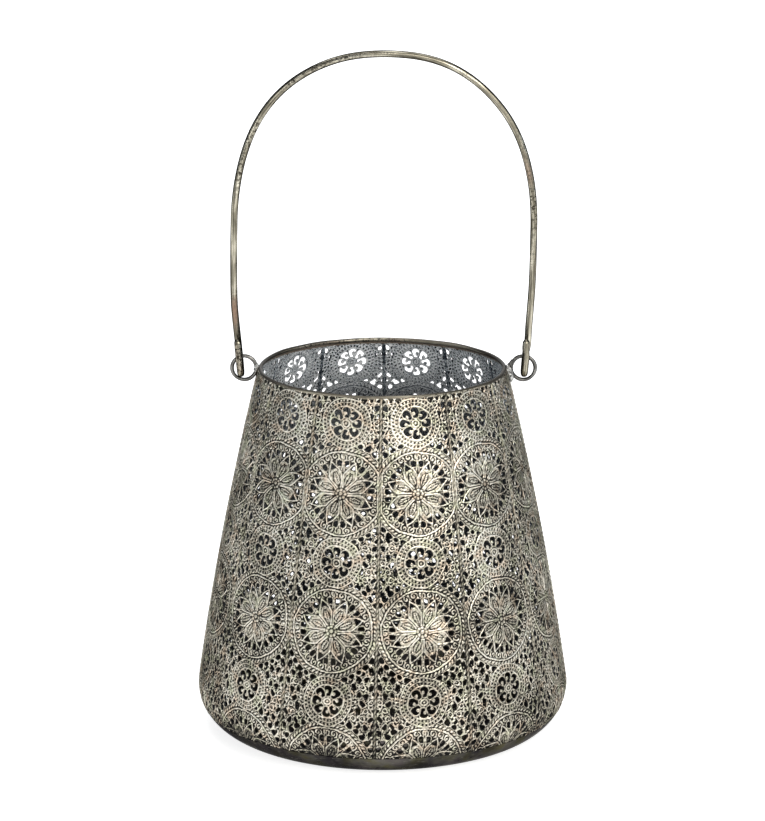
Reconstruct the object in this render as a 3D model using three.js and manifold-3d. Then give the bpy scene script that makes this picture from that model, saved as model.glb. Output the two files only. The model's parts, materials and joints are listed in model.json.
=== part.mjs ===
// Hanging candle lantern: a bucket of twelve pierced sheet-metal gores soldered edge to edge,
// with a dished base pan, a wire hoop round the mouth, two wire ears and a swinging wire bail.
// Millimetres, +Z up, origin on the axis in the plane that the lantern stands on.
import * as THREE from 'three';
import { mergeVertices } from 'three/addons/utils/BufferGeometryUtils.js';
import Module from 'manifold-3d';

// Body
const BODY_RADIUS = 90;
const RIM_RADIUS = 59.3;
const RIM_HEIGHT = 178.9;
const CORNER_RADIUS = 20.4;
const FOOT_LEAN = THREE.MathUtils.degToRad(8.3);
const SHEET = 0.9;
const GAP = 0.3;

// Gores and the soldered strips that join them
const GORE_COUNT = 12;
const SEAM_TURN = THREE.MathUtils.degToRad(-1.7);
const SEAM_WIDTH = 1.2;
const SEAM_PROUD = 0.35;
const GORE_FOOT_ANGLE = THREE.MathUtils.degToRad(-27.5);
const FACETS_PER_GORE = 3;
const WALL_STEPS = 8;

// Pierced rosettes, three to a gore
const ROSETTE_HEIGHTS = [38.1, 102.5, 166.2];
const PETAL_COUNT = 8;
const PETAL_RING_RADIUS = 5.3;
const PETAL_HOLE_RADIUS = 1.75;
const PETAL_HOLE_SIDES = 5;

// Mouth hoop, ears and their solder
const HOOP_WIRE_RADIUS = 1.0;
const HOOP_RADIUS = 58.5;
const EAR_X = 67;
const EAR_Z = 177.95;
const EAR_RADIUS = 5.8;
const EAR_WIRE_RADIUS = 0.9;
const SOLDER_RADIUS = 2.4;
const SOLDER_X = 60.9;

// Bail
const BAIL_WIRE_RADIUS = 1.7;
const BAIL_APEX_Z = 329.8;
const BAIL_HALF_WIDTH = 71.3;
const BAIL_SHOULDER_Z = 248.4;
const HOOK_X = 68;
const HOOK_LEAN = 0.085;
const HOOK_DROP = 8.5;
const HOOK_BEND_RADIUS = 3.1;
const HOOK_TIP_RISE = 8.8;
const PIVOT_Z = EAR_Z + Math.sqrt(EAR_RADIUS ** 2 - (HOOK_X - EAR_X) ** 2);

const HOOP_HEIGHT = RIM_HEIGHT - HOOP_WIRE_RADIUS;
const WALL_TOP = HOOP_HEIGHT - HOOP_WIRE_RADIUS - GAP;
const CORNER_CENTRE = new THREE.Vector2(BODY_RADIUS - CORNER_RADIUS, CORNER_RADIUS);
const GORE_ANGLE = (2 * Math.PI) / GORE_COUNT;
const FACETS = GORE_COUNT * FACETS_PER_GORE;

const wasm = await Module();
wasm.setup();

function material(colour, roughness, metalness) {
  return new THREE.MeshStandardMaterial({ color: new THREE.Color(...colour), roughness, metalness });
}

const goreMetal = material([0.43, 0.39, 0.31], 0.42, 0.9);
const seamMetal = material([0.34, 0.31, 0.25], 0.45, 0.9);
const panMetal = material([0.09, 0.095, 0.085], 0.4, 0.85);
const hoopMetal = material([0.17, 0.15, 0.11], 0.4, 0.9);
const earMetal = material([0.22, 0.2, 0.18], 0.38, 0.9);
const solderMetal = material([0.6, 0.6, 0.58], 0.45, 0.85);
const bailMetal = material([0.36, 0.32, 0.24], 0.38, 0.9);

// ---------- solids ----------

function solidOf(geometry) {
  geometry.deleteAttribute('normal');
  geometry.deleteAttribute('uv');
  const merged = mergeVertices(geometry);
  const triVerts = Uint32Array.from(merged.index.array);
  const vertProperties = merged.attributes.position.array;
  return new wasm.Manifold(new wasm.Mesh({ numProp: 3, vertProperties, triVerts }));
}

function geometryOf(solid) {
  const { vertProperties, triVerts } = solid.getMesh();
  const geometry = new THREE.BufferGeometry();
  geometry.setAttribute('position', new THREE.BufferAttribute(vertProperties, 3));
  geometry.setIndex(new THREE.BufferAttribute(triVerts, 1));
  geometry.computeVertexNormals();
  return geometry;
}

// Turns a profile of (radius, height) points about the vertical axis, with a facet edge on each seam.
function turned(profile) {
  const geometry = new THREE.LatheGeometry(profile, FACETS, SEAM_TURN);
  return geometry.rotateX(Math.PI / 2);
}

function named(name, geometry, metal) {
  const mesh = new THREE.Mesh(geometry, metal);
  mesh.name = name;
  return mesh;
}

// ---------- body profile ----------

// The outer radius of the wall: tangent to the base's rounded corner, then drawn in towards the rim.
function wallRadius(z) {
  const foot = pointOnCorner(FOOT_LEAN, 0);
  const run = RIM_HEIGHT - foot.y;
  const share = (z - foot.y) / run;
  const fall = Math.tan(FOOT_LEAN) * run;
  const draw = foot.x - fall - RIM_RADIUS;
  return foot.x - fall * share - draw * share ** 2;
}

// A point of the rounded corner at an angle above the horizontal, set in from the outside.
function pointOnCorner(angle, inset) {
  const radius = CORNER_RADIUS - inset;
  return new THREE.Vector2(Math.cos(angle), Math.sin(angle)).multiplyScalar(radius).add(CORNER_CENTRE);
}

function cornerArc(from, to, steps, inset) {
  const points = [];
  for (let i = 0; i <= steps; i += 1) {
    points.push(pointOnCorner(from + ((to - from) * i) / steps, inset));
  }
  return points;
}

// The wall's outline from its foot to its top, set in by an amount.
function wallLine(inset) {
  const points = cornerArc(GORE_FOOT_ANGLE, FOOT_LEAN, 4, inset);
  const foot = points[points.length - 1].y;
  for (let i = 1; i <= WALL_STEPS; i += 1) {
    const z = foot + ((WALL_TOP - foot) * i) / WALL_STEPS;
    points.push(new THREE.Vector2(wallRadius(z) - inset, z));
  }
  return points;
}

// A closed band of wall between two insets, all the way round.
function wallBand(outerInset, innerInset) {
  const outline = [...wallLine(outerInset), ...wallLine(innerInset).reverse()];
  outline.push(outline[0].clone());
  return solidOf(turned(outline));
}

// ---------- gores and seams ----------

// The upright prism, open towards the front, that one gore fills between its two seams.
function goreSector() {
  const inset = SEAM_WIDTH / 2 + GAP;
  const reach = BODY_RADIUS * 1.5;
  const apex = inset / Math.sin(GORE_ANGLE / 2);
  const half = reach * Math.tan(GORE_ANGLE / 2);
  const sector = new THREE.Shape();
  sector.moveTo(0, -apex);
  sector.lineTo(-half, -apex - reach);
  sector.lineTo(half, -apex - reach);
  sector.closePath();
  return solidOf(new THREE.ExtrudeGeometry(sector, { depth: RIM_HEIGHT, bevelEnabled: false }));
}

// One petal-shaped hole of a rosette, bored straight through the front of the wall.
function petalHole(rosetteHeight, turn) {
  const hole = new THREE.CylinderGeometry(
    PETAL_HOLE_RADIUS,
    PETAL_HOLE_RADIUS,
    12,
    PETAL_HOLE_SIDES,
  );
  hole.rotateY(-turn);
  const x = PETAL_RING_RADIUS * Math.sin(turn);
  const z = rosetteHeight + PETAL_RING_RADIUS * Math.cos(turn);
  hole.translate(x, -wallRadius(rosetteHeight), z);
  return solidOf(hole);
}

function goreGeometry() {
  const middle = SEAM_TURN + GORE_ANGLE / 2;
  const wall = wallBand(0, SHEET).rotate([0, 0, -THREE.MathUtils.radToDeg(middle)]);
  let gore = wall.intersect(goreSector());
  for (const height of ROSETTE_HEIGHTS) {
    for (let petal = 0; petal < PETAL_COUNT; petal += 1) {
      gore = gore.subtract(petalHole(height, (petal * 2 * Math.PI) / PETAL_COUNT));
    }
  }
  return geometryOf(gore);
}

function seamGeometry() {
  const slab = new THREE.BoxGeometry(SEAM_WIDTH, BODY_RADIUS * 2, RIM_HEIGHT * 2);
  slab.translate(0, -BODY_RADIUS, 0);
  const band = wallBand(-SEAM_PROUD, SHEET).rotate([0, 0, -THREE.MathUtils.radToDeg(SEAM_TURN)]);
  return geometryOf(band.intersect(solidOf(slab)));
}

function addGores(group) {
  const gore = goreGeometry();
  const seam = seamGeometry();
  for (let i = 0; i < GORE_COUNT; i += 1) {
    const number = String(i + 1).padStart(2, '0');
    const panel = named(`gore_${number}`, gore, goreMetal);
    panel.rotation.z = SEAM_TURN + GORE_ANGLE * (i + 0.5);
    const strip = named(`seam_strip_${number}`, seam, seamMetal);
    strip.rotation.z = SEAM_TURN + GORE_ANGLE * i;
    group.add(panel, strip);
  }
}

// ---------- base pan ----------

// A shallow dish whose lip steps inwards by a sheet and stands up inside the foot of the gores.
function basePan() {
  const lipInset = SHEET + GAP;
  const step = THREE.MathUtils.degToRad(1.2);
  const shoulder = GORE_FOOT_ANGLE - step;
  const floor = -Math.PI / 2;
  const outline = [
    new THREE.Vector2(0, 0),
    ...cornerArc(floor, shoulder, 6, 0),
    ...cornerArc(shoulder + step / 2, 0, 3, lipInset),
    ...cornerArc(0, shoulder - 2 * step, 3, lipInset + SHEET),
    ...cornerArc(shoulder - 5 * step, floor, 5, SHEET),
    new THREE.Vector2(0, SHEET),
  ];
  return named('base_pan', turned(outline), panMetal);
}

// ---------- mouth hoop, ears and solder ----------

function hoopGeometry(wireRadius) {
  return new THREE.TorusGeometry(HOOP_RADIUS, wireRadius, 8, FACETS).translate(0, 0, HOOP_HEIGHT);
}

function earGeometry(wireRadius) {
  return new THREE.TorusGeometry(EAR_RADIUS, wireRadius, 8, 24).rotateX(Math.PI / 2);
}

// A bead of solder that bridges an ear and the hoop, shaped round both wires and the wall's top.
function solderGeometry() {
  const bead = new THREE.SphereGeometry(SOLDER_RADIUS, 12, 8).translate(SOLDER_X, 0, EAR_Z);
  const ear = earGeometry(EAR_WIRE_RADIUS + GAP).translate(EAR_X, 0, EAR_Z);
  const collarTop = WALL_TOP + GAP;
  const collarBottom = collarTop - 2 * SOLDER_RADIUS;
  const clear = SEAM_PROUD + GAP;
  const collar = new THREE.CylinderGeometry(
    wallRadius(collarTop) + clear,
    wallRadius(collarBottom) + clear,
    collarTop - collarBottom,
    FACETS * 2,
  );
  collar.rotateX(Math.PI / 2).translate(0, 0, (collarTop + collarBottom) / 2);
  const solid = solidOf(bead)
    .subtract(solidOf(hoopGeometry(HOOP_WIRE_RADIUS + GAP)))
    .subtract(solidOf(ear))
    .subtract(solidOf(collar));
  return geometryOf(solid);
}

function addEars(group) {
  const solder = solderGeometry();
  for (const [side, direction] of [['left', -1], ['right', 1]]) {
    const ear = named(`ear_ring_${side}`, earGeometry(EAR_WIRE_RADIUS), earMetal);
    ear.position.set(direction * EAR_X, 0, EAR_Z);
    const bead = named(`ear_solder_${side}`, solder, solderMetal);
    bead.rotation.z = direction > 0 ? 0 : Math.PI;
    group.add(ear, bead);
  }
}

// ---------- bail ----------

// Has one section at each of its points, so that tight bends get closer sections than long runs.
class WirePath extends THREE.CatmullRomCurve3 {
  getUtoTmapping(u) {
    return u;
  }
}

// A point of a hook: its height above the pivot and its distance behind the bail's plane.
function hookPoint(rise, behind) {
  const z = PIVOT_Z + rise;
  return new THREE.Vector3(HOOK_X + HOOK_LEAN * (rise + HOOK_DROP), behind, z);
}

// The right-hand hook from its tip, down in front of the ear's wire, under it and up behind it.
function hookPoints() {
  const bendCentre = HOOK_BEND_RADIUS - HOOK_DROP;
  const points = [
    hookPoint(HOOK_TIP_RISE, -2.5),
    hookPoint(4.5, -2.95),
    hookPoint(0, -HOOK_BEND_RADIUS),
  ];
  for (let i = 0; i <= 6; i += 1) {
    const turn = (Math.PI * i) / 6;
    const rise = bendCentre - HOOK_BEND_RADIUS * Math.sin(turn);
    points.push(hookPoint(rise, -HOOK_BEND_RADIUS * Math.cos(turn)));
  }
  points.push(hookPoint(0, HOOK_BEND_RADIUS), hookPoint(4.5, 2.65), hookPoint(9, 1.7), hookPoint(14, 0.5));
  return points;
}

// The right half of the arch, from above the hook to just short of the apex.
function archPoints() {
  const start = hookPoint(20, 0);
  const shoulder = new THREE.Vector3(BAIL_HALF_WIDTH, 0, BAIL_SHOULDER_Z);
  const leg = new THREE.CubicBezierCurve3(
    start,
    new THREE.Vector3(start.x + HOOK_LEAN * 13, 0, start.z + 13),
    new THREE.Vector3(BAIL_HALF_WIDTH, 0, BAIL_SHOULDER_Z - 20),
    shoulder,
  );
  const bow = new THREE.CubicBezierCurve3(
    shoulder,
    new THREE.Vector3(BAIL_HALF_WIDTH, 0, BAIL_SHOULDER_Z + 45.5),
    new THREE.Vector3(48.4, 0, BAIL_APEX_Z),
    new THREE.Vector3(0, 0, BAIL_APEX_Z),
  );
  return [...leg.getPoints(4), ...bow.getPoints(12).slice(1, -1)];
}

function bail() {
  const right = [...hookPoints(), ...archPoints()];
  const left = right.map((point) => point.clone().setX(-point.x)).reverse();
  const path = new WirePath([...right, new THREE.Vector3(0, 0, BAIL_APEX_Z), ...left]);
  const section = new THREE.Shape().absarc(0, 0, BAIL_WIRE_RADIUS, 0, 2 * Math.PI);
  const geometry = new THREE.ExtrudeGeometry(section, {
    steps: path.points.length - 1,
    curveSegments: 4,
    extrudePath: path,
  });
  return named('bail', geometry, bailMetal);
}

const group = new THREE.Group();
addGores(group);
group.add(basePan());
group.add(named('mouth_hoop', hoopGeometry(HOOP_WIRE_RADIUS), hoopMetal));
addEars(group);
group.add(bail());

export default group;
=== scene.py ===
"""Hanging candle lantern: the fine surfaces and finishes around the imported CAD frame.

Shapes are in millimetres, turned to metres where their vertices are made. The finishes, the stage, the
lights and the camera are in metres. Angles round the body run from the front, -Y, towards +X.
"""

import json
import math

import bmesh
import bpy
import numpy as np
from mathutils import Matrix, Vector, noise


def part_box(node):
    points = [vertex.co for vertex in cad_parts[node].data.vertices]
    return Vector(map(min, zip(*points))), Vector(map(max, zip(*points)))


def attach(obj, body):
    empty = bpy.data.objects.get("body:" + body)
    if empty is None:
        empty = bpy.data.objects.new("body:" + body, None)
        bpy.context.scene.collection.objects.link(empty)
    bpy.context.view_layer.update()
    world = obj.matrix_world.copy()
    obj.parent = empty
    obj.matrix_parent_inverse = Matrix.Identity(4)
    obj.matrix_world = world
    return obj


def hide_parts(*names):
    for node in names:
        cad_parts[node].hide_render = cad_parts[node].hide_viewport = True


# Unseeded, Blender's own noise differs from run to run
NOISE_SEED = 2
noise.seed_set(NOISE_SEED)

MM = 0.001
BODY = "lantern_body"
HANDLE = "handle"

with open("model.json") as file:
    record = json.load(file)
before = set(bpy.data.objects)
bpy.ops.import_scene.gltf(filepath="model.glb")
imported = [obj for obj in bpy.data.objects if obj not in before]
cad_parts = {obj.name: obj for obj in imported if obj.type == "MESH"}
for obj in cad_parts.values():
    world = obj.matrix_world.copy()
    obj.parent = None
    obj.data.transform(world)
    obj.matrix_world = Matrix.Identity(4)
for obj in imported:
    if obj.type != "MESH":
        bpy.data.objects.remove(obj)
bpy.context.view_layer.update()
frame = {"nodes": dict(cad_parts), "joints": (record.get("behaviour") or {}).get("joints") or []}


def reach(node):
    """The furthest that a CAD node's surface lies from the vertical axis, in millimetres."""
    return max(math.hypot(v.co.x, v.co.y) for v in frame["nodes"][node].data.vertices) / MM


def span(node):
    """The lowest and highest corner of a CAD node, in millimetres."""
    low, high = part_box(node)
    return low / MM, high / MM


# Mouth hoop
HOOP_LOW, HOOP_HIGH = span("mouth_hoop")
HOOP_WIRE = (HOOP_HIGH.z - HOOP_LOW.z) / 2
HOOP_RADIUS = reach("mouth_hoop") - HOOP_WIRE
HOOP_Z = (HOOP_HIGH.z + HOOP_LOW.z) / 2

# Body: a rounded corner at the foot, and a wall that is drawn in towards the rim
RIM_Z = HOOP_HIGH.z
RIM_RADIUS = HOOP_RADIUS + 0.8
BODY_RADIUS = reach("gore_01")
SHEET = 0.9
CORNER_RADIUS = 20.4
CORNER_X = BODY_RADIUS - CORNER_RADIUS
FOOT_LEAN = math.radians(8.3)
FOOT_ANGLE = math.radians(-27.5)
TOP_TUCK = 0.9

# Gores, and how far their stamping leans to one side at its lowest and highest row
GORE_COUNT = 12
GORE_ANGLE = 2 * math.pi / GORE_COUNT
SEAM_TURN = math.radians(-1.7)
TWIST_FOOT = math.radians(-0.5)
TWIST_TOP = math.radians(1.0)

# Rows of medallions, by the height of their middles; one more large row is cut off by the foot
SMALL_ROWS = (38.1, 102.5, 166.2)
LARGE_ROWS = (70.8, 134.1)
ROW_PITCH = 32.0
SMALL_RADIUS = 12.0
LARGE_RADIUS = 22.0
DISC_RADIUS = 19.9
ARCH_REACH = 3.1
PETALS = 8
GAP_SLOPE = math.tan(math.pi / PETALS)

# The stamped sheet: depths are measured from the wall's outer line
GRID = 0.38
FACE_DEPTH = -0.35
RELIEF = 0.55
INNER_DEPTH = -0.85
INNER_RELIEF = 0.42
EDGE_BAND = 0.8

# Bail: its hooks hang on the ears' upper wires
PIVOT_Z = frame["joints"][0]["pos_m"][2] / MM
HOOK_X = 68.0
HOOK_LEAN = 0.085
HOOK_DROP = 8.5
HOOK_BEND_RADIUS = 3.1
HOOK_TIP_RISE = 8.8
HOOK_TWIST = 0.2
ARCH_SHIFT = 0.9
BAIL_WIRE = 1.7
BAIL_HIGH = span("bail")[1]
BAIL_HALF_WIDTH = BAIL_HIGH.x - BAIL_WIRE
BAIL_APEX_Z = BAIL_HIGH.z - BAIL_WIRE
BAIL_SHOULDER_Z = 248.4


# ---------- wall profile ----------


def wall_profile():
    """The wall's outer line from its foot up: arrays of length along it, radius, height and lean."""
    arc = np.linspace(FOOT_ANGLE, FOOT_LEAN, 60)
    radius = CORNER_X + CORNER_RADIUS * np.cos(arc)
    height = CORNER_RADIUS + CORNER_RADIUS * np.sin(arc)
    run = RIM_Z - height[-1]
    z = np.linspace(height[-1], HOOP_Z - HOOP_WIRE + TOP_TUCK, 300)[1:]
    share = (z - height[-1]) / run
    fall = math.tan(FOOT_LEAN) * run
    draw = radius[-1] - fall - RIM_RADIUS
    radius = np.append(radius, radius[-1] - fall * share - draw * share**2)
    height = np.append(height, z)
    length = np.append(0, np.cumsum(np.hypot(np.diff(radius), np.diff(height))))
    lean = np.arctan2(-np.gradient(radius), np.gradient(height))
    return length, radius, height, lean


LENGTH, RADIUS, HEIGHT, LEAN = wall_profile()


def place(across, along, proud):
    """Points of the wall: an angle from the gore's middle, a length from the foot, a distance outwards."""
    radius = np.interp(along, LENGTH, RADIUS)
    height = np.interp(along, LENGTH, HEIGHT)
    lean = np.interp(along, LENGTH, LEAN)
    rise = (height - SMALL_ROWS[0]) / (SMALL_ROWS[-1] - SMALL_ROWS[0])
    angle = across + TWIST_FOOT + (TWIST_TOP - TWIST_FOOT) * rise
    radius = radius + proud * np.cos(lean)
    height = height + proud * np.sin(lean)
    return np.column_stack((radius * np.sin(angle), -radius * np.cos(angle), height))


def row_length(height):
    """The length along the wall, from its foot, at a height."""
    return float(np.interp(height, HEIGHT, LENGTH))


# ---------- stamped pattern: relief from 0 to 1, and metal, negative inside a hole ----------


def ridge(distance, half_width):
    """A round-topped line, 1 along its middle and 0 beyond its half width."""
    return np.sqrt(np.clip(1 - (distance / half_width) ** 2, 0, 1))


def sector(angle, count, phase=0.0):
    """The angle from the middle of the nearest of count equal sectors."""
    step = 2 * math.pi / count
    return (angle - phase + step / 2) % step - step / 2


def chance(*counts):
    """A number from 0 to 1 that looks random, from whole numbers."""
    mixed = sum(count * factor for count, factor in zip(counts, (12.9898, 78.233)))
    return np.sin(mixed + 0.7) * 43758.5453 % 1


def rounded(radius, *distances):
    """Below zero where every distance is below zero, with the corners of that region rounded."""
    return np.sqrt(sum(np.maximum(d + radius, 0) ** 2 for d in distances)) - radius


def beads(r, angle, count, ring, size):
    """A ring of round beads."""
    turn = sector(angle, count)
    return ridge(np.hypot(r * np.cos(turn) - ring, r * np.sin(turn)), size)


def curls(out, side, level, depth):
    """A spiral round a point, as wavy relief about a level."""
    pitch = 1.35
    distance = np.hypot(out, side)
    return level + depth * np.cos(2 * math.pi * distance / pitch - np.arctan2(side, out))


def small_medallion(x, y):
    """Eight holes round a hub, each curled round a knob on the bar beside it, inside two beaded rings."""
    r, angle = np.hypot(x, y), np.arctan2(x, y)
    turn = sector(angle, PETALS)
    out, side = r * np.cos(turn), r * np.sin(turn)
    line_width = 0.42

    bar = 0.4 - (GAP_SLOPE * out - np.abs(side))
    lobe = np.hypot(np.maximum(out - 5.7, 0), np.maximum(np.abs(side) - 0.35, 0)) - 1.6
    knob = 0.88 - np.hypot(out - 4.75, side + 0.62)
    neck = 0.36 - np.abs(side + 0.85 + 0.1 * (4.8 - out)) - np.maximum(out - 4.8, 0)
    metal = np.maximum.reduce([rounded(0.4, bar, lobe, 2.85 - r), knob, neck])
    relief = np.maximum.reduce([
        np.full_like(r, 0.3),
        0.9 * ridge(metal - 0.38, 0.45),
        0.4 * (r < 2.9),
        ridge(r - 1.5, 0.55),
        0.9 * ridge(r, 0.8),
        ridge(knob - 0.4, 0.5) * (r > 3.4),
        ridge(r - 8.0, line_width),
        0.8 * beads(r, angle, 34, 8.95, 0.72),
        0.85 * ridge(r - 9.85, line_width),
        0.95 * beads(r, angle, 40, 10.75, 0.66),
        ridge(r - 11.62, line_width),
    ])
    return relief, metal


def petal_relief(out, side, inside):
    """A pointed petal: a veined leaf sunk in its flesh, and a chain of small lobes towards its tip."""
    leaf = 1.5 * np.sin(math.pi * np.clip((out - 3.2) / 8.6, 0, 1))
    veins = 0.26 * np.cos(2 * math.pi * (out - 1.2 * side) / 1.15) * (side < leaf)
    flesh = 0.68 + veins - 0.7 * ridge(side - leaf, 0.3) - 0.65 * ridge(side, 0.24)
    lobe_pitch = 1.3
    lobe_side = (side + lobe_pitch / 2) % lobe_pitch - lobe_pitch / 2
    lobes = np.hypot(out - 11.4 + 0.4 * side, lobe_side)
    flesh = np.where(out > 10.6, 0.3 + 0.65 * ridge(lobes, 0.7) - 0.6 * ridge(lobes, 0.22), flesh)
    return np.maximum(np.where(inside > 0, flesh, 0), ridge(inside - 0.3, 0.42))


def gap_relief(out, side, inside, r):
    """Between two petals: a thin leaf, then a stalk with a knob at its end."""
    leaf = 1.25 * np.cos(math.pi / 2 * np.clip((out - 9.0) / 4.6, -1, 1)) - side
    leaf = np.where((inside < -0.25) & (r > 6), leaf, -1)
    return np.maximum.reduce([
        np.where(leaf > 0, 0.55 - 0.45 * ridge(side, 0.2), 0),
        0.8 * ridge(leaf - 0.2, 0.3),
        0.75 * (side < 0.7) * (out > 11.2) * (side > 0.2),
        ridge(np.hypot(out - 14.2, side), 0.85),
    ])


def large_medallion(x, y, inward):
    """Eight pointed petals with pierced tips round a beaded hub; between them thin leaves and pairs of
    pierced eyes; and a ring of scrolls inside a fine line. Inward is the distance from the disc's edge."""
    r, angle = np.hypot(x, y), np.arctan2(x, y)
    turn = sector(angle, PETALS, math.pi / PETALS)
    out, side = r * np.cos(turn), np.abs(r * np.sin(turn))
    gap_turn = sector(angle, PETALS)
    gap_out, gap_side = r * np.cos(gap_turn), np.abs(r * np.sin(gap_turn))

    width = 3.4 * np.cos(math.pi / 2 * np.clip((out - 8.2) / 7.9, 0, 1))
    width = np.minimum(width, GAP_SLOPE * out - 0.2)
    inside = np.where(r > 3.1, width - side, -1)

    tip_hole = rounded(0.3, 0.86 - inside, 12.3 - out)
    eye = rounded(0.55, 0.86 - gap_side, 0.76 + inside, 12.9 - r, r - 15.2 - 0.2 * gap_side, gap_side - 2.7)
    hole = np.maximum(np.where(inside > 0, tip_hole, eye), 1.7 - inward)

    scroll_turn = sector(angle, 28)
    scrolls = curls(r * np.cos(scroll_turn) - 17.35, r * np.sin(scroll_turn), 0.5, 0.42)
    hub = 0.3 + 0.5 * beads(r, angle, 8, 2.1, 0.75) + 0.5 * ridge(r, 0.9) - 0.4 * ridge(r, 0.3)
    relief = np.maximum.reduce([
        np.where(r < 14.2, 0.3, 0.1),
        np.where(r < 2.9, hub, 0),
        petal_relief(out, side, inside),
        gap_relief(gap_out, gap_side, inside, r),
        np.where(r > 15.8, scrolls, 0),
        0.7 * ridge(hole - 0.55, 0.3),
        (0.9 + 0.1 * np.cos(23 * angle)) * ridge(inward - 0.5, 0.48),
    ])
    relief = np.where((inward > 0.95) & (inward < 1.3), np.minimum(relief, 0.3), relief)
    return relief, hole


def rope(r, angle):
    """The corded ring outside a large medallion, with a fine line round it."""
    strands = 0.68 + 0.3 * np.cos(66 * angle - 2.4 * r)
    line = 0.8 * ridge(r - LARGE_RADIUS + 0.2, 0.25)
    return np.maximum(ridge(r - DISC_RADIUS - 1.05, 0.85) * strands, line)


def arches(r, angle):
    """A chain of pierced arches of uneven height round a large medallion."""
    count = 38
    turn = sector(angle, count)
    luck = chance(np.round(angle * count / (2 * math.pi)) % count)
    out, side = r * np.cos(turn) - LARGE_RADIUS - 1.2, r * np.sin(turn) + 0.25 * (luck - 0.5)
    tall = np.where(out > 0, out / (1.2 + luck), out / 0.6)
    hole = (np.hypot(tall, side / (1.1 + 0.4 * luck)) - 1) * 1.1
    knots = ridge(np.hypot(out - 0.6, np.abs(side) - 1.85), 0.5)
    return np.maximum.reduce([np.full_like(r, 0.25), ridge(hole - 0.45, 0.45), knots]), hole


def lattice(edge, along):
    """Pierced eyes of uneven size among curls and beads, on a wavy grid counted from the seam."""
    column, row = 3.9, 3.7
    across = edge + 0.4 * np.sin(0.9 * along + 0.5 * edge) + 0.22 * np.sin(2.3 * along - 0.9 * edge + 1)
    up = along + 0.4 * np.sin(1.05 * edge + 0.4 * along + 2) + 0.2 * np.sin(2.6 * edge + 0.8 * along)
    level = np.floor(up / row + 0.5)
    shift = np.where(level % 2 > 0.5, column / 2, 0)
    shifted = across - 2.3 - shift
    cell = np.floor(shifted / column + 0.5)
    side, rise = shifted - cell * column, up - level * row

    luck = chance(cell, level)
    size = 0.8 + 0.75 * luck
    eye = (np.hypot(side / 0.95, rise / (0.95 + 0.25 * luck)) - 1) * size + (1 - size)
    knob = 0.42 - np.hypot(side - 0.35, rise + 0.75)
    eye = np.maximum(eye, np.where(luck > 0.62, knob, -1))
    closed = luck < 0.2
    eye = np.where(closed, 1.0, eye)

    boss = np.hypot(side, rise)
    corner_side, corner_rise = np.abs(side) - column / 2, np.abs(rise) - row / 2
    near_corner = np.hypot(corner_side, corner_rise) < 1.7
    relief = np.maximum.reduce([
        np.full_like(edge, 0.05),
        0.85 * ridge(eye - 0.5, 0.4) * ~closed,
        np.where(near_corner, curls(corner_side, corner_rise, 0.42, 0.5), 0),
        (ridge(boss - 1.15, 0.42) + 0.8 * ridge(boss, 0.5)) * closed,
    ])
    return relief, eye


def rise_from(rows, along):
    """The length from the nearest of the rows."""
    offsets = along[..., None] - rows
    return np.take_along_axis(offsets, np.abs(offsets).argmin(-1)[..., None], -1)[..., 0]


def pattern(x, along):
    """Relief and metal of one gore, over arrays of distance from its middle and length from its foot."""
    radius = np.interp(along, LENGTH, RADIUS)
    edge = radius * GORE_ANGLE / 2 - np.abs(x)
    outline = np.minimum.reduce([edge - 0.15, along, LENGTH[-1] - along])
    x, along = (
        x + 0.2 * np.sin(0.31 * along + 1) + 0.13 * np.sin(0.83 * x + 0.57 * along),
        along + 0.2 * np.sin(0.4 * x + 0.5) + 0.13 * np.sin(0.9 * along - 0.5 * x),
    )
    small_rows = np.array([row_length(z) for z in SMALL_ROWS])
    large_rows = np.array([row_length(SMALL_ROWS[0]) - ROW_PITCH] + [row_length(z) for z in LARGE_ROWS])
    small_rise, large_rise = rise_from(small_rows, along), rise_from(large_rows, along)
    small_r = np.hypot(x, small_rise)
    large_r, large_angle = np.hypot(x, large_rise), np.arctan2(x, large_rise)
    relief, metal = lattice(edge, small_rise)

    def cover(where, layer):
        return np.where(where, layer[0], relief), np.where(where, layer[1], metal)

    relief, metal = cover(large_r < LARGE_RADIUS + ARCH_REACH, arches(large_r, large_angle))
    rims = 0.7 - np.minimum(small_r - SMALL_RADIUS, large_r - LARGE_RADIUS)
    metal = np.maximum(metal, np.maximum(rims, 1.1 - edge))
    relief, metal = cover(large_r < LARGE_RADIUS, (rope(large_r, large_angle), np.ones_like(x)))
    inward = np.minimum(DISC_RADIUS - large_r, np.maximum(edge - 0.35, 0))
    relief, metal = cover(large_r < DISC_RADIUS, large_medallion(x, large_rise, inward))
    relief, metal = cover(small_r < SMALL_RADIUS, small_medallion(x, small_rise))

    groove = np.clip((edge - 0.75) / 0.5, 0, 1)
    relief = relief * np.clip(groove + np.where(large_r < LARGE_RADIUS, 0.75, 0.45), 0, 1)
    metal = np.maximum(metal, 2.3 - (LENGTH[-1] - along))
    metal = np.minimum(np.maximum(metal, EDGE_BAND - outline), outline)
    return relief, metal


# ---------- the pierced sheet ----------


def blurred(field, reach_mm):
    """The field with each value averaged over its surroundings."""
    steps = max(1, round(reach_mm / GRID))
    weights = np.hanning(2 * steps + 3)[1:-1]
    weights /= weights.sum()
    for axis in (0, 1):
        padded = np.pad(field, [(steps, steps) if a == axis else (0, 0) for a in (0, 1)], "edge")
        field = np.apply_along_axis(lambda line: np.convolve(line, weights, "valid"), axis, padded)
    return field


def rough(shape, reach_mm, seed):
    """Smooth random lumps, mostly between -0.5 and 0.5."""
    field = blurred(np.random.default_rng(seed).random(shape), reach_mm)
    return np.clip((field - field.mean()) / (4 * field.std()), -0.5, 0.5)


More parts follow.
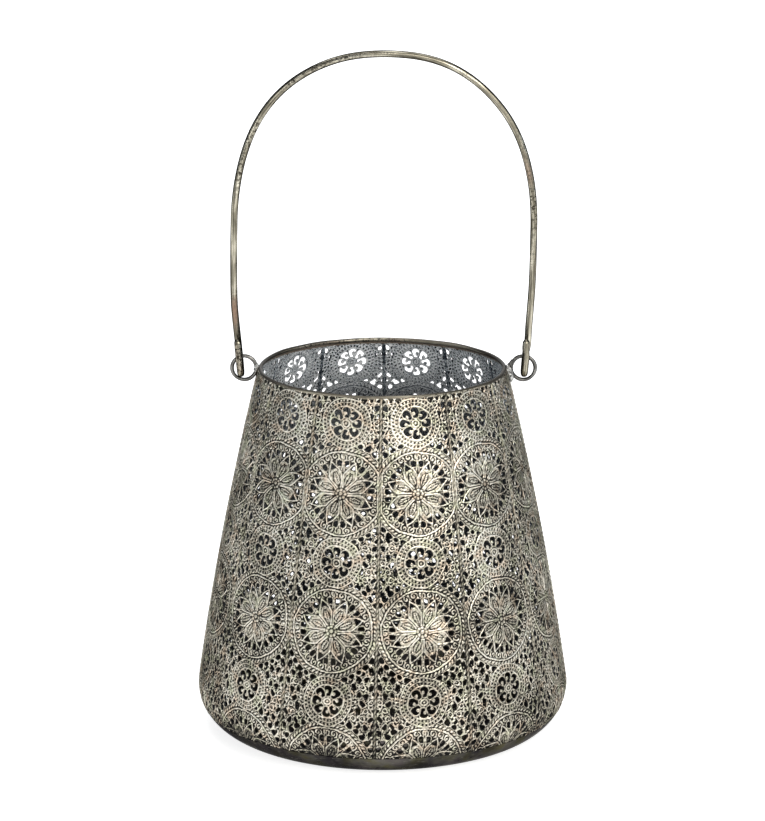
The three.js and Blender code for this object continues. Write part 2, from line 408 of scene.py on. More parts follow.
def stamped_grid():
    """One gore on an even grid: its metal, and its fields of place (two), relief and cavity, which is high
    where the relief stands above its surroundings."""
    half = RADIUS.max() * GORE_ANGLE / 2 + GRID
    u = np.arange(-half, half + GRID, GRID)
    v = np.arange(-GRID, LENGTH[-1] + 2 * GRID, GRID)
    x, along = np.meshgrid(u, v, indexing="ij")
    relief, metal = pattern(x, along)
    unevenness = 0.3
    relief = np.clip(relief + unevenness * rough(x.shape, 0.8, seed=3), 0, 1)
    metal = metal + unevenness * rough(x.shape, 1.2, seed=4) * (metal < 1)
    solid = metal > 0
    near = 1.1
    level = blurred(np.where(solid, relief, 0), near) / np.maximum(blurred(solid * 1.0, near), 0.2)
    cavity = np.clip(0.55 + 1.1 * (relief - level), 0, 1)
    return metal, (x, along, relief, cavity)


def cut_points(metal, fields):
    """The fields at the metal's grid nodes and wherever its edge crosses a grid line, with the ids of those
    points by node and by line of each direction."""
    solid = metal > 0
    count = int(solid.sum())
    node_ids = np.full(solid.shape, -1)
    node_ids[solid] = np.arange(count)
    columns = [[field[solid]] for field in fields]
    line_ids = []
    for axis in (0, 1):
        first = tuple(slice(None, -1) if a == axis else slice(None) for a in (0, 1))
        second = tuple(slice(1, None) if a == axis else slice(None) for a in (0, 1))
        crossed = solid[first] != solid[second]
        share = metal[first][crossed] / (metal[first][crossed] - metal[second][crossed])
        share = np.clip(share, 0.12, 0.88)
        ids = np.full(crossed.shape, -1)
        ids[crossed] = np.arange(count, count + crossed.sum())
        count += int(crossed.sum())
        line_ids.append(ids)
        for column, field in zip(columns, fields):
            column.append(field[first][crossed] * (1 - share) + field[second][crossed] * share)
    return [np.concatenate(column) for column in columns], node_ids, line_ids


def cell_outline(case):
    """The walk round one grid cell whose corners are metal where case has a bit: (corners and edges)."""
    walk = []
    for corner in range(4):
        here = case >> corner & 1
        after = case >> (corner + 1) % 4 & 1
        if here:
            walk.append(("corner", corner))
        if here != after:
            walk.append(("edge", corner))
    return walk


def cut_polygons(node_ids, line_ids):
    """The polygons of the metal, and those of their sides that lie along a hole or the outline."""
    ids = {
        "corner": (node_ids[:-1, :-1], node_ids[1:, :-1], node_ids[1:, 1:], node_ids[:-1, 1:]),
        "edge": (line_ids[0][:, :-1], line_ids[1][1:, :], line_ids[0][:, 1:], line_ids[1][:-1, :]),
    }
    cases = sum((corners >= 0).astype(int) << k for k, corners in enumerate(ids["corner"]))
    polygons, rims = [], []
    for case in range(1, 16):
        cells = cases == case
        if not cells.any():
            continue
        walk = cell_outline(case)
        face = np.column_stack([ids[kind][k][cells] for kind, k in walk])
        polygons.append(face)
        for k, (kind, _) in enumerate(walk):
            after = (k + 1) % len(walk)
            if kind == "edge" and walk[after][0] == "edge":
                rims.append(face[:, [k, after]])
    return polygons, np.concatenate(rims)


def pierced_sheet():
    """Points, polygons and attributes of one gore: the stamped sheet cut along its holes and outline."""
    (x, along, relief, cavity), node_ids, line_ids = cut_points(*stamped_grid())
    front, rims = cut_polygons(node_ids, line_ids)
    count = len(x)
    back = [face[:, ::-1] + count for face in front]
    walls = np.column_stack((rims[:, 1], rims[:, 0], rims[:, 0] + count, rims[:, 1] + count))

    angle = x / np.interp(along, LENGTH, RADIUS)
    outer = place(angle, along, FACE_DEPTH + RELIEF * relief)
    inner = place(angle, along, INNER_DEPTH + INNER_RELIEF * relief)
    attributes = {
        "relief": np.tile(relief, 2),
        "cavity": np.tile(cavity, 2),
        "inner": np.repeat([0.0, 1.0], count),
    }
    return np.vstack((outer, inner)), front + back + [walls], attributes


# ---------- meshes ----------


def add_object(name, data):
    thing = bpy.data.objects.new(name, data)
    bpy.context.scene.collection.objects.link(thing)
    return thing


def mesh_object(name, points, polygons, material, attributes=None, smooth_angle=50):
    """A new object of closed mesh, with its faces shaded smooth up to an angle."""
    sizes = np.concatenate([np.full(len(p), p.shape[1]) for p in polygons])
    corners = np.concatenate([p.ravel() for p in polygons])
    mesh = bpy.data.meshes.new(name)
    mesh.vertices.add(len(points))
    mesh.vertices.foreach_set("co", (np.asarray(points) * MM).astype(np.float32).ravel())
    mesh.loops.add(len(corners))
    mesh.loops.foreach_set("vertex_index", corners.astype(np.int32))
    mesh.polygons.add(len(sizes))
    mesh.polygons.foreach_set("loop_start", (np.cumsum(sizes) - sizes).astype(np.int32))
    mesh.update(calc_edges=True)
    mesh.validate()
    mesh.shade_smooth()
    mesh.set_sharp_from_angle(angle=math.radians(smooth_angle))
    for key, values in (attributes or {}).items():
        layer = mesh.attributes.new(key, "FLOAT", "POINT")
        layer.data.foreach_set("value", np.asarray(values, np.float32))
    mesh.materials.append(material)
    return add_object(name, mesh)


def fit_piece(thing, body, node):
    """Stands a piece in for a CAD node, on its body, and hides the node."""
    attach(thing, body)
    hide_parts(node)


def fit_round(first, node, ending, phase):
    """Stands a piece and its turned copies, which share its mesh, in for the numbered nodes of the body."""
    for i in range(GORE_COUNT):
        numbered = f"{node}_{i + 1:02d}"
        piece = add_object(f"{numbered}_{ending}", first.data) if i else first
        piece.rotation_euler.z = SEAM_TURN + GORE_ANGLE * (i + phase)
        fit_piece(piece, BODY, numbered)


def full_turn(steps):
    """Angles of evenly spaced steps round a circle."""
    return np.linspace(0, 2 * math.pi, steps, endpoint=False)


def swept(rings, closed=False):
    """Points and polygons of a tube from its rings: (count, sides, 3); open ends are capped."""
    count, sides = rings.shape[:2]
    ids = np.arange(count * sides).reshape(count, sides)
    after = np.roll(ids, -1, axis=1)
    ahead = np.roll(ids, -1, axis=0)
    ahead_after = np.roll(ahead, -1, axis=1)
    quads = np.stack((ids, after, ahead_after, ahead), axis=-1)
    if closed:
        return rings.reshape(-1, 3), [quads.reshape(-1, 4)]
    caps = [ids[0][::-1][None, :], ids[-1][None, :]]
    return rings.reshape(-1, 3), [quads[:-1].reshape(-1, 4)] + caps


def tube_rings(line, radii, sides, closed=False):
    """Round sections along a line of points, turned as little as possible from one to the next."""
    if closed:
        ways = np.roll(line, -1, axis=0) - np.roll(line, 1, axis=0)
    else:
        ways = np.gradient(line, axis=0)
    ways /= np.linalg.norm(ways, axis=1)[:, None]
    across = np.cross(ways[0], (0.0, 1.0, 0.0) if abs(ways[0][1]) < 0.9 else (1.0, 0.0, 0.0))
    turns = full_turn(sides)[:, None]
    rings = []
    for point, way, radius in zip(line, ways, np.broadcast_to(radii, len(line))):
        across = across - way * np.dot(across, way)
        across /= np.linalg.norm(across)
        other = np.cross(way, across)
        ring = across * np.cos(turns) + other * np.sin(turns)
        rings.append(point + ring * radius)
    return np.array(rings)


def wire(line, radii, sides, closed=False):
    """Points and polygons of a round wire, with attributes for how far along it and which way round it
    each point is."""
    points, polygons = swept(tube_rings(line, radii, sides, closed), closed)
    run = np.append(0, np.cumsum(np.linalg.norm(np.diff(line, axis=0), axis=1)))
    turns = full_turn(sides)
    marks = {
        "run": np.repeat(run, sides),
        "around_x": np.tile(np.cos(turns), len(line)),
        "around_y": np.tile(np.sin(turns), len(line)),
    }
    return points, polygons, marks


def joined(first, second):
    """Two wires' points, polygons and attributes as one."""
    points, polygons, marks = first
    more_points, more_polygons, more_marks = second
    polygons = polygons + [face + len(points) for face in more_polygons]
    marks = {key: np.append(marks[key], more_marks[key]) for key in marks}
    return np.vstack((points, more_points)), polygons, marks


def wobble(points, scale, amount, seed):
    """The points, moved a little by smooth noise."""
    shift = Vector((seed, seed * 0.7, -seed))
    moved = [Vector(p) + noise.noise_vector(Vector(p) / scale + shift) * amount for p in points]
    return np.array([tuple(p) for p in moved])


def smooth_line(points, steps):
    """A Catmull-Rom curve through the points."""
    points = np.array(points, float)
    padded = np.vstack((2 * points[0] - points[1], points, 2 * points[-1] - points[-2]))
    line = []
    for a, b, c, d in zip(padded, padded[1:], padded[2:], padded[3:]):
        square, cube = 2 * a - 5 * b + 4 * c - d, 3 * b - a - 3 * c + d
        for t in np.linspace(0, 1, steps, endpoint=False):
            line.append(0.5 * (2 * b + (c - a) * t + square * t**2 + cube * t**3))
    return np.array(line + [points[-1]])


def bezier(a, b, c, d, steps):
    """A cubic Bézier curve from a to d."""
    t = np.linspace(0, 1, steps)[:, None]
    a, b, c, d = (np.array(p, float) for p in (a, b, c, d))
    return (1 - t) ** 3 * a + 3 * (1 - t) ** 2 * t * b + 3 * (1 - t) * t**2 * c + t**3 * d


# ---------- materials ----------


class Finish:
    """A material under construction, with short ways to add its nodes."""

    def __init__(self, name, fixed=False):
        """A fixed finish stays in the world's frame, so that pieces that share a mesh differ."""
        self.material = bpy.data.materials.new(name)
        self.material.use_nodes = True
        self.tree = self.material.node_tree
        self.shader = self.tree.nodes["Principled BSDF"]
        source = ("ShaderNodeNewGeometry", "Position") if fixed else ("ShaderNodeTexCoord", "Object")
        self.place = self.node(source[0]).outputs[source[1]]

    def node(self, kind, **settings):
        node = self.tree.nodes.new(kind)
        for key, value in settings.items():
            setattr(node, key, value)
        return node

    def feed(self, source, target):
        if isinstance(source, bpy.types.NodeSocket):
            self.tree.links.new(source, target)
        else:
            target.default_value = source

    def attribute(self, name):
        return self.node("ShaderNodeAttribute", attribute_name=name).outputs["Fac"]

    def noise(self, scale, detail, roughness=0.55, place=None):
        node = self.node("ShaderNodeTexNoise")
        self.feed(place or self.place, node.inputs["Vector"])
        node.inputs["Scale"].default_value = scale
        node.inputs["Detail"].default_value = detail
        node.inputs["Roughness"].default_value = roughness
        return node.outputs["Fac"]

    def parts(self, vector):
        node = self.node("ShaderNodeSeparateXYZ")
        self.feed(vector, node.inputs["Vector"])
        return node.outputs["X"], node.outputs["Y"], node.outputs["Z"]

    def stretched(self, x, y, z):
        node = self.node("ShaderNodeMapping")
        self.feed(self.place, node.inputs["Vector"])
        node.inputs["Scale"].default_value = (x, y, z)
        return node.outputs["Vector"]

    def math(self, operation, a, b=0.0):
        node = self.node("ShaderNodeMath", operation=operation)
        self.feed(a, node.inputs[0])
        self.feed(b, node.inputs[1])
        return node.outputs[0]

    def scaled(self, value, low, high, new_low=0.0, new_high=1.0):
        """The value eased from new_low at low to new_high at high."""
        node = self.node("ShaderNodeMapRange", interpolation_type="SMOOTHSTEP")
        self.feed(value, node.inputs["Value"])
        node.inputs["From Min"].default_value = low
        node.inputs["From Max"].default_value = high
        node.inputs["To Min"].default_value = new_low
        node.inputs["To Max"].default_value = new_high
        return node.outputs["Result"]

    def ramp(self, value, *stops):
        node = self.node("ShaderNodeValToRGB")
        elements = node.color_ramp.elements
        while len(elements) < len(stops):
            elements.new(0.5)
        for element, (position, colour) in zip(elements, stops):
            element.position = position
            element.color = (*colour, 1.0)
        self.feed(value, node.inputs["Fac"])
        return node.outputs["Color"]

    def mix(self, amount, a, b, blend_type="MIX"):
        node = self.node("ShaderNodeMix", data_type="RGBA", blend_type=blend_type)
        self.feed(amount, node.inputs["Factor"])
        for socket, value in ((node.inputs[6], a), (node.inputs[7], b)):
            self.feed(value if isinstance(value, bpy.types.NodeSocket) else (*value, 1.0), socket)
        return node.outputs[2]

    def bump(self, height, distance, strength):
        node = self.node("ShaderNodeBump")
        node.inputs["Strength"].default_value = strength
        node.inputs["Distance"].default_value = distance
        self.feed(height, node.inputs["Height"])
        self.feed(node.outputs["Normal"], self.shader.inputs["Normal"])

    def finish(self, colour, roughness, metallic, edge=(1.0, 1.0, 1.0)):
        """The finished material; edge tints the reflection at glancing angles."""
        self.shader.inputs["Specular Tint"].default_value = (*edge, 1.0)
        self.feed(colour, self.shader.inputs["Base Color"])
        self.feed(roughness, self.shader.inputs["Roughness"])
        self.feed(metallic, self.shader.inputs["Metallic"])
        return self.material


def filigree_finish():
    """Blackened metal whose raised lines are rubbed back to champagne, with a blue-grey steel inside.
    Painted shade darkens the foot and the lower wall, and turns the lower part of the inside near black.
    """
    f = Finish("filigree_metal", fixed=True)
    relief, cavity, inner = (f.attribute(name) for name in ("relief", "cavity", "inner"))
    patches = f.noise(45, 3)
    grain = f.noise(900, 5, 0.65)
    height = f.parts(f.place)[2]

    # The rub value mixes the real rubbing of the raised relief, patches and grain with painted shade, added
    # below, that darkens the foot and the lower wall.
    rub_and_shade = f.math("ADD", f.math("MULTIPLY", relief, 0.45), f.math("MULTIPLY", cavity, 0.62))
    rub_and_shade = f.math("ADD", rub_and_shade, f.scaled(patches, 0.3, 0.7, -0.12, 0.1))
    rub_and_shade = f.math("ADD", rub_and_shade, f.scaled(grain, 0.3, 0.7, -0.1, 0.1))
    # Painted shade: the wall is darkened towards its foot by lowering the rub value near the pan.
    painted_foot_shade = f.scaled(height, 0.0095, 0.019, -0.2, 0.0)
    rub_and_shade = f.math("ADD", rub_and_shade, painted_foot_shade)
    # Painted shade: the rub value is lowered low on the wall and raised a little near the top, so the wall
    # reads darker below and paler above.
    painted_rise_shade = f.scaled(height, 0.02, 0.16, -0.06, 0.01)
    rub_and_shade = f.math("ADD", rub_and_shade, painted_rise_shade)

    outside = f.ramp(
        rub_and_shade,
        (0.28, (0.016, 0.015, 0.014)),
        (0.43, (0.070, 0.066, 0.057)),
        (0.58, (0.285, 0.262, 0.211)),
        (0.77, (0.59, 0.545, 0.448)),
        (0.95, (0.84, 0.80, 0.71)),
    )
    tint = f.ramp(
        f.noise(160, 3),
        (0.36, (0.92, 0.98, 0.86)),
        (0.46, (1.0, 1.0, 1.0)),
        (0.54, (1.0, 1.0, 1.0)),
        (0.64, (1.0, 0.87, 0.79)),
    )
    outside = f.mix(0.75, outside, tint, "MULTIPLY")

    inside = f.ramp(
        rub_and_shade,
        (0.34, (0.014, 0.019, 0.027)),
        (0.46, (0.26, 0.30, 0.335)),
        (0.56, (0.93, 0.97, 1.0)),
        (0.72, (1.0, 1.0, 1.0)),
        (0.84, (0.55, 0.60, 0.64)),
        (0.96, (0.18, 0.205, 0.23)),
    )
    # Painted shade: below the upper inside, the inner colour is mixed towards near-black, and the lowest
    # part keeps only a fifth of its own colour.
    painted_inner_shade_mask = f.scaled(height, 0.138, 0.168, 0.2, 1.0)
    inside = f.mix(painted_inner_shade_mask, (0.035, 0.039, 0.044), inside)
    under_the_hoop = f.scaled(height, 0.1752, 0.1762)
    inside = f.mix(under_the_hoop, inside, (0.26, 0.21, 0.165))

    colour = f.mix(f.scaled(inner, 0.1, 0.5), outside, inside)
    f.bump(f.noise(1600, 4, 0.7), 0.00012, 0.5)
    metallic = f.math("SUBTRACT", f.scaled(rub_and_shade, 0.3, 0.6, 0.8, 1.0), f.math("MULTIPLY", inner, 0.65))
    return f.finish(colour, f.scaled(rub_and_shade, 0.35, 0.85, 0.55, 0.3), metallic, (0.12, 0.14, 0.17))


def pan_finish():
    """Charcoal satin with an olive cast, faint cloudy wear and fine handling marks."""
    f = Finish("pan_metal")
    cloud = f.noise(38, 5, 0.62)
    tint = f.noise(95, 3)
    marks = f.noise(330, 3, 0.7, f.stretched(1.0, 1.0, 6.0))
    colour = f.ramp(
        cloud,
        (0.34, (0.016, 0.015, 0.015)),
        (0.50, (0.050, 0.047, 0.043)),
        (0.66, (0.120, 0.114, 0.095)),
    )
    stain = f.ramp(tint, (0.40, (0.78, 0.72, 0.86)), (0.5, (1.0, 1.0, 1.0)), (0.60, (1.0, 0.97, 0.66)))
    colour = f.mix(0.8, colour, stain, "MULTIPLY")
    colour = f.mix(f.scaled(marks, 0.6, 0.72), colour, (0.17, 0.165, 0.14))
    f.bump(f.noise(900, 4, 0.6), 0.00008, 0.6)
    return f.finish(colour, f.scaled(cloud, 0.3, 0.7, 0.5, 0.34), 0.9, (0.3, 0.3, 0.3))


def wire_finish(name, dark, middle, bright, blotch, scale, roughness, metallic=1.0):
    """Old plated wire, drawn in streaks, with painted shade that darkens its left and right sides and leaves
    its front and back at full colour.
    """
    f = Finish(name)
    way = f.node("ShaderNodeCombineXYZ")
    for socket, source, factor in (("X", "around_x", 1.0), ("Y", "around_y", 1.0), ("Z", "run", 0.02)):
        f.feed(f.math("MULTIPLY", f.attribute(source), factor), way.inputs[socket])
    streaks = f.noise(2.4, 5, 0.65, way.outputs["Vector"])
    patches = f.noise(scale, 4, 0.6)
    specks = f.noise(scale * 16, 4, 0.7)
    tone = f.math("ADD", f.math("MULTIPLY", patches, 0.4), f.math("MULTIPLY", streaks, 0.6))
    colour = f.ramp(tone, (0.36, dark), (0.48, middle), (0.62, bright))
    colour = f.mix(f.scaled(f.noise(scale * 0.45, 2), 0.6, 0.72), colour, blotch)
    crusty = f.scaled(f.noise(scale * 0.5, 2), 0.45, 0.62)
    crust = f.math("MULTIPLY", f.scaled(specks, 0.46, 0.58), crusty)
    colour = f.mix(crust, colour, dark)
    # Painted shade: where the wire's object-space normal points sideways rather than to the front or back,
    # its colour is mixed towards the dark tone.
    painted_side_shade_mask = f.math("ABSOLUTE", f.parts(f.node("ShaderNodeTexCoord").outputs["Normal"])[1])
    painted_side_shade_mask = f.math("ADD", painted_side_shade_mask, f.scaled(streaks, 0.3, 0.7, -0.15, 0.15))
    colour = f.mix(f.scaled(painted_side_shade_mask, 0.45, 0.9), dark, colour)
    f.bump(specks, 0.00008, 0.6)
    sheen = f.scaled(tone, 0.35, 0.65, roughness + 0.1, roughness - 0.08)
    return f.finish(colour, sheen, metallic, (0.1, 0.1, 0.1))


def solder_finish():
    """Dull pale tin with grey oxide in its folds."""
    f = Finish("solder_tin")
    folds = f.noise(700, 4, 0.6)
    colour = f.ramp(folds, (0.36, (0.05, 0.05, 0.048)), (0.5, (0.34, 0.34, 0.33)), (0.64, (0.8, 0.8, 0.78)))
    f.bump(folds, 0.0004, 0.9)
    return f.finish(colour, f.scaled(folds, 0.3, 0.7, 0.55, 0.35), 0.9)


# ---------- pieces ----------


def make_gores(metal):
    points, polygons, attributes = pierced_sheet()
    first = mesh_object("gore_01_filigree", points, polygons, metal, attributes, 58)
    fit_round(first, "gore", "filigree", 0.5)


def make_seams(metal):
    """A roped line of solder over each joint, with a plain straight stem inside."""
    step, sides, pitch = 0.32, 14, 2.5
    half_width = 0.62
    middle = -0.33
    outer_depth, inner_depth = 0.72, 0.78
    along = np.arange(0, LENGTH[-1], step)
    s, t = np.meshgrid(along, full_turn(sides), indexing="ij")
    outer = np.clip(np.sin(t) * 3, 0, 1)
    strands = 0.5 + 0.5 * np.cos(2 * math.pi * s / pitch + 2 * t)
    size = half_width * (1 + outer * 0.16 * (strands - 0.5))
    depth = np.where(np.sin(t) > 0, outer_depth, inner_depth)
    across = size * np.cos(t) / np.interp(s, LENGTH, RADIUS)
    proud = middle + depth * np.sin(t) * size / half_width
    rings = place(across.ravel(), s.ravel(), proud.ravel()).reshape(len(along), sides, 3)
    points, polygons = swept(rings)
    inner = np.sin(t) < -0.1
    worn = np.where(inner, 0.42, 0.44 + 0.26 * strands * outer).ravel()
    attributes = {"relief": worn, "cavity": worn, "inner": inner.astype(float).ravel()}
    first = mesh_object("seam_strip_01_rope", points, polygons, metal, attributes)
    fit_round(first, "seam_strip", "rope", 0)


def corner_points(start, end, steps, inset):
    """Radius and height along the foot's rounded corner, set in from its outside."""
    angles = np.linspace(start, end, steps)
    radius = CORNER_RADIUS - inset
    return np.column_stack((CORNER_X + radius * np.cos(angles), CORNER_RADIUS + radius * np.sin(angles)))


def make_pan(metal):
    """The pressed dish: a flat floor, a rounded shoulder and a lip that stands inside the gores."""
    step, floor = math.radians(1.2), -math.pi / 2
    shoulder = FOOT_ANGLE - step
    lip = SHEET + 0.3
    flat = np.linspace(0.5, CORNER_X, 14)[:-1]
    outline = np.vstack((
        np.column_stack((flat, np.zeros_like(flat))),
        corner_points(floor, shoulder, 24, 0),
        corner_points(shoulder + step / 2, 0, 10, lip),
        corner_points(0, shoulder - 2 * step, 10, lip + SHEET),
        corner_points(shoulder - 5 * step, floor, 18, SHEET),
        np.column_stack((flat[::-1], np.full_like(flat, SHEET))),
    ))
    turns = full_turn(240)
    rings = np.stack([
        np.column_stack((r * np.sin(turns), -r * np.cos(turns), np.full_like(turns, z))) for r, z in outline
    ])
    points, polygons = swept(rings)
    pan = mesh_object("base_pan_dish", points, polygons, metal, smooth_angle=35)
    fit_piece(pan, BODY, "base_pan")


def make_hoop(metal):
    """The wire that stiffens the mouth, not quite true."""
    turns = full_turn(300)
    line = np.column_stack((
        HOOP_RADIUS * np.cos(turns),
        HOOP_RADIUS * np.sin(turns),
        np.full_like(turns, HOOP_Z),
    ))
    line = wobble(line, scale=16, amount=0.22, seed=3)
    points, polygons, marks = wire(line, HOOP_WIRE, 16, closed=True)
    hoop = mesh_object("mouth_hoop_wire", points, polygons, metal, marks)
    fit_piece(hoop, BODY, "mouth_hoop")


def ear_wire(node, direction, shift, turned):
    """A wire eye, moved off its CAD place by a shift outwards and turned a little about the vertical; one
    that is turned stands on a short stem from the hoop."""
    sides = 14
    low, high = span(node)
    radius_of_wire = (high.y - low.y) / 2
    centre = (low + high) / 2
    radius = (high.z - low.z) / 2 - radius_of_wire
    turns = full_turn(72)
    line = np.column_stack((
        centre.x + direction * shift + radius * np.cos(turns) * math.cos(turned),
        -radius * np.cos(turns) * math.sin(turned) * 0.3,
        centre.z + radius * np.sin(turns),
    ))
    line = wobble(line, scale=7, amount=0.1, seed=8 + direction)
    sizes = radius_of_wire * (1 + 0.05 * np.sin(3 * turns + direction))
    eye = wire(line, sizes, sides, closed=True)
    if not turned:
        return eye
    stem = smooth_line([
        (HOOP_RADIUS + 0.3, 0.2, HOOP_Z + 0.2),
        (HOOP_RADIUS + 1.9, 0.1, HOOP_Z + 1.1),
        (centre.x - radius * 0.75, 0.4, centre.z + radius * 0.62),
    ], 8)
    return joined(eye, wire(stem, radius_of_wire * 0.92, sides))


def make_ears(metal, tin):
    """The left ear is closed against the hoop, the right one stands a little off it and turned."""
    for side, direction, shift, turned in (("left", -1, -0.55, 0.0), ("right", 1, 0.5, 0.15)):
        points, polygons, marks = ear_wire(f"ear_ring_{side}", direction, shift, turned)
        ear = mesh_object(f"ear_ring_{side}_wire", points, polygons, metal, marks)
        fit_piece(ear, BODY, f"ear_ring_{side}")
        make_solder(side, direction, tin)


def solder_lumps(direction):
    """Middles and radii of the lumps of solder at one ear; the right one's run on down the wall."""
    if direction > 0:
        lumps = [
            (60.4, -1.3, -1.6, 1.9),
            (61.4, -1.6, -3.6, 1.8),
            (60.2, -0.8, 0.6, 1.2),
            (61.4, -1.4, -5.4, 1.3),
        ]
    else:
        lumps = [(60.3, -0.2, 0.5, 1.0), (60.8, -0.4, -1.0, 1.0), (60.5, 0.1, 1.5, 0.7)]
    return [(Vector((direction * x, y, HOOP_Z + rise)), radius) for x, y, rise, radius in lumps]


def make_solder(side, direction, tin):
    """A lumpy bead run round the hoop, the ear and the top of the wall."""
    lumps = solder_lumps(direction)
    centre = lumps[0][0]
    sharpness = 3.0

    def depth(point):
        """Below zero inside the lumps, which melt into each other."""
        pull = sum(math.exp(-sharpness * ((point - middle).length - radius)) for middle, radius in lumps)
        return -math.log(pull) / sharpness

    shape = bmesh.new()
    bmesh.ops.create_icosphere(shape, subdivisions=5, radius=1.0)
    for vertex in shape.verts:
        way = vertex.co.normalized()
        near, far = 0.0, 8.0
        for _ in range(16):
            halfway = (near + far) / 2
            if depth(centre + way * halfway) < 0:
                near = halfway
            else:
                far = halfway
        point = centre + way * near
        point = point + noise.noise_vector(point / 1.3) * 0.4 + noise.noise_vector(point / 0.5) * 0.16
        vertex.co = point * MM
    mesh = bpy.data.meshes.new(f"ear_solder_{side}_bead")
    shape.to_mesh(mesh)
    shape.free()
    mesh.shade_smooth()
    mesh.materials.append(tin)
    fit_piece(add_object(mesh.name, mesh), BODY, f"ear_solder_{side}")


def hook_point(rise, behind):
    """A point of the right-hand hook: its height above the pivot and distance behind the bail's plane."""
    return (HOOK_X + HOOK_LEAN * (rise + HOOK_DROP), behind, PIVOT_Z + rise)


def bail_line():
    """The right half of the bail's centre line: the hook from its tip, the leg, then the bow."""
    bend = HOOK_BEND_RADIUS - HOOK_DROP
    hook = [hook_point(HOOK_TIP_RISE, -2.5), hook_point(4.5, -2.95), hook_point(0, -HOOK_BEND_RADIUS)]
    for turn in np.linspace(0, math.pi, 9):
        rise = bend - HOOK_BEND_RADIUS * math.sin(turn)
        hook.append(hook_point(rise, -HOOK_BEND_RADIUS * math.cos(turn)))
    hook += [hook_point(0, HOOK_BEND_RADIUS), hook_point(4.5, 2.65), hook_point(9, 1.7), hook_point(14, 0.5)]

    start = hook_point(20, 0)
    shoulder = (BAIL_HALF_WIDTH, 0, BAIL_SHOULDER_Z)
    leg = bezier(
        start,
        (start[0] + 1.1, 0, start[2] + 13),
        (BAIL_HALF_WIDTH, 0, BAIL_SHOULDER_Z - 20),
        shoulder,
        30,
    )
    bow = bezier(
        shoulder,
        (BAIL_HALF_WIDTH, 0, BAIL_SHOULDER_Z + 45.5),
        (48.4, 0, BAIL_APEX_Z),
        (0, 0, BAIL_APEX_Z),
        70,
    )
    return np.vstack((smooth_line(hook + [start], 6)[:-1], leg[:-1], bow))


def make_bail(metal):
    """One bent wire. Its right hook is a little twisted, but only above the pivot, so that the bend still
    hangs square in its ear, and its arch is not quite true."""
    right = bail_line()
    left = right[::-1][1:] * (-1, 1, 1)
    line = np.vstack((right, left))
    rise = line[:, 2] - PIVOT_Z
    twisted = np.clip((rise - 1) / 4, 0, 1) * (line[:, 0] > 0)
    line[:, 0] += HOOK_TWIST * twisted * line[:, 1]
    arched = np.clip((rise - 25) / 40, 0, 1)[:, None]
    line = line + (wobble(line, scale=38, amount=0.5, seed=5) - line) * arched
    line[:, :1] += ARCH_SHIFT * arched
    ends = np.minimum(np.arange(len(line)), np.arange(len(line))[::-1])
    radii = BAIL_WIRE * np.interp(ends, (0, 1, 2), (0.5, 0.85, 1.0))
    points, polygons, marks = wire(line, radii, 20)
    bail = mesh_object("bail_wire", points, polygons, metal, marks)
    fit_piece(bail, HANDLE, "bail")


# ---------- stage, light and camera ----------


def make_stage():
    """A pale floor that sweeps up into a pale backdrop."""
    width, height = 3.0, 5.0
    front, back, bend = -5.0, 2.6, 1.2
    line = [(front, 0.0), (back, 0.0)]
    for turn in np.linspace(0.1, math.pi / 2, 14):
        line.append((back + bend * math.sin(turn), bend * (1 - math.cos(turn))))
    line.append((back + bend, height))
    points = [(x, y, z) for y, z in line for x in (-width, width)]
    faces = [(2 * i, 2 * i + 1, 2 * i + 3, 2 * i + 2) for i in range(len(line) - 1)]
    mesh = bpy.data.meshes.new("sweep")
    mesh.from_pydata(points, [], faces)
    mesh.shade_smooth()
    floor = Finish("pale_sweep")
    floor.shader.inputs["Base Color"].default_value = (0.6, 0.6, 0.6, 1.0)
    floor.shader.inputs["Roughness"].default_value = 0.9
    floor.shader.inputs["Specular IOR Level"].default_value = 0.1
    floor.shader.inputs["Emission Color"].default_value = (1.0, 1.0, 1.0, 1.0)
    floor.shader.inputs["Emission Strength"].default_value = 0.8
    mesh.materials.append(floor.material)
    add_object("sweep", mesh)


def add_area(name, place_m, target_m, size, power, colour=(1.0, 1.0, 1.0)):
    light = bpy.data.lights.new(name, "AREA")
    light.shape = "RECTANGLE"
    light.size, light.size_y = size
    light.energy = power
    light.color = colour
    lamp = add_object(name, light)
    lamp.location = place_m
    lamp.rotation_euler = (Vector(target_m) - Vector(place_m)).to_track_quat("-Z", "Y").to_euler()


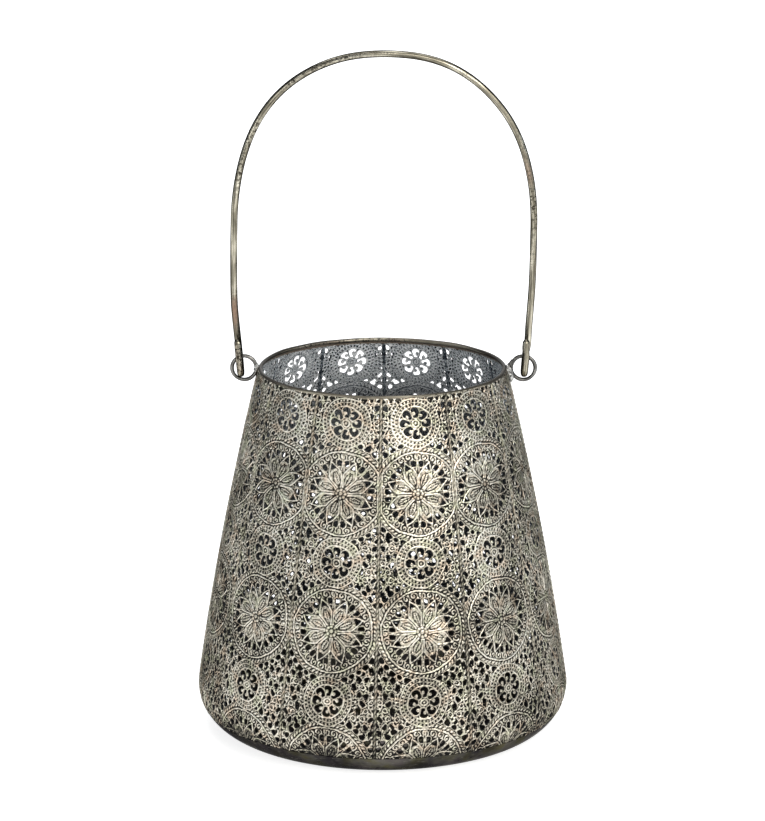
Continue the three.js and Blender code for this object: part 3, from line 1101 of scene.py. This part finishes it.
def make_light():
    """A soft warm key from the right, a weak fill, cool strips for the flanks, and a lit backdrop."""
    world = bpy.data.worlds.new("studio")
    world.use_nodes = True
    world.node_tree.nodes["Background"].inputs["Color"].default_value = (0.82, 0.91, 1.0, 1.0)
    world.node_tree.nodes["Background"].inputs["Strength"].default_value = 0.17
    bpy.context.scene.world = world
    middle = (0, 0, 0.12)
    cool = (0.85, 0.93, 1.0)
    add_area("key", (1.0, -1.9, 1.3), middle, (1.9, 1.3), 37, (1.0, 0.965, 0.91))
    add_area("fill", (-1.15, -1.9, 0.8), middle, (0.7, 1.1), 7, (1.0, 0.98, 0.95))
    add_area("left_edge", (-1.9, -0.6, 0.7), middle, (0.3, 1.2), 3.5, cool)
    add_area("right_edge", (1.9, -0.6, 0.7), middle, (0.3, 1.2), 3.5, cool)
    add_area("top", (0, 0.2, 2.1), middle, (1.6, 1.6), 24)
    add_area("back", (0, 1.9, 2.3), (0, 3.4, 0.8), (1.7, 1.2), 50)


def make_camera():
    """Well back and a little above, aimed at the upper part of the body."""
    target = Vector((0, 0, 0.1567))
    distance = 1.7074
    rise = math.radians(14.57)
    camera = bpy.data.cameras.new("camera")
    camera.sensor_width = 36
    camera.lens = 155.4
    view = add_object("camera", camera)
    view.location = target + Vector((0, -math.cos(rise), math.sin(rise))) * distance
    view.rotation_euler = (target - view.location).to_track_quat("-Z", "Y").to_euler()
    bpy.context.scene.camera = view


make_camera()
make_stage()
make_light()
filigree = filigree_finish()
make_gores(filigree)
make_seams(filigree)
make_pan(pan_finish())
make_hoop(wire_finish(
    "hoop_bronze",
    dark=(0.06, 0.054, 0.044),
    middle=(0.27, 0.245, 0.19),
    bright=(0.66, 0.61, 0.50),
    blotch=(0.22, 0.17, 0.135),
    scale=60,
    roughness=0.36,
    metallic=0.55,
))
ear_bronze = wire_finish(
    "ear_bronze",
    dark=(0.03, 0.03, 0.029),
    middle=(0.12, 0.118, 0.11),
    bright=(0.38, 0.37, 0.35),
    blotch=(0.14, 0.12, 0.10),
    scale=150,
    roughness=0.34,
)
make_ears(ear_bronze, solder_finish())
make_bail(wire_finish(
    "bail_brass",
    dark=(0.035, 0.031, 0.023),
    middle=(0.25, 0.23, 0.175),
    bright=(0.74, 0.70, 0.58),
    blotch=(0.27, 0.185, 0.135),
    scale=45,
    roughness=0.27,
))
bpy.context.scene.view_settings.view_transform = "Standard"
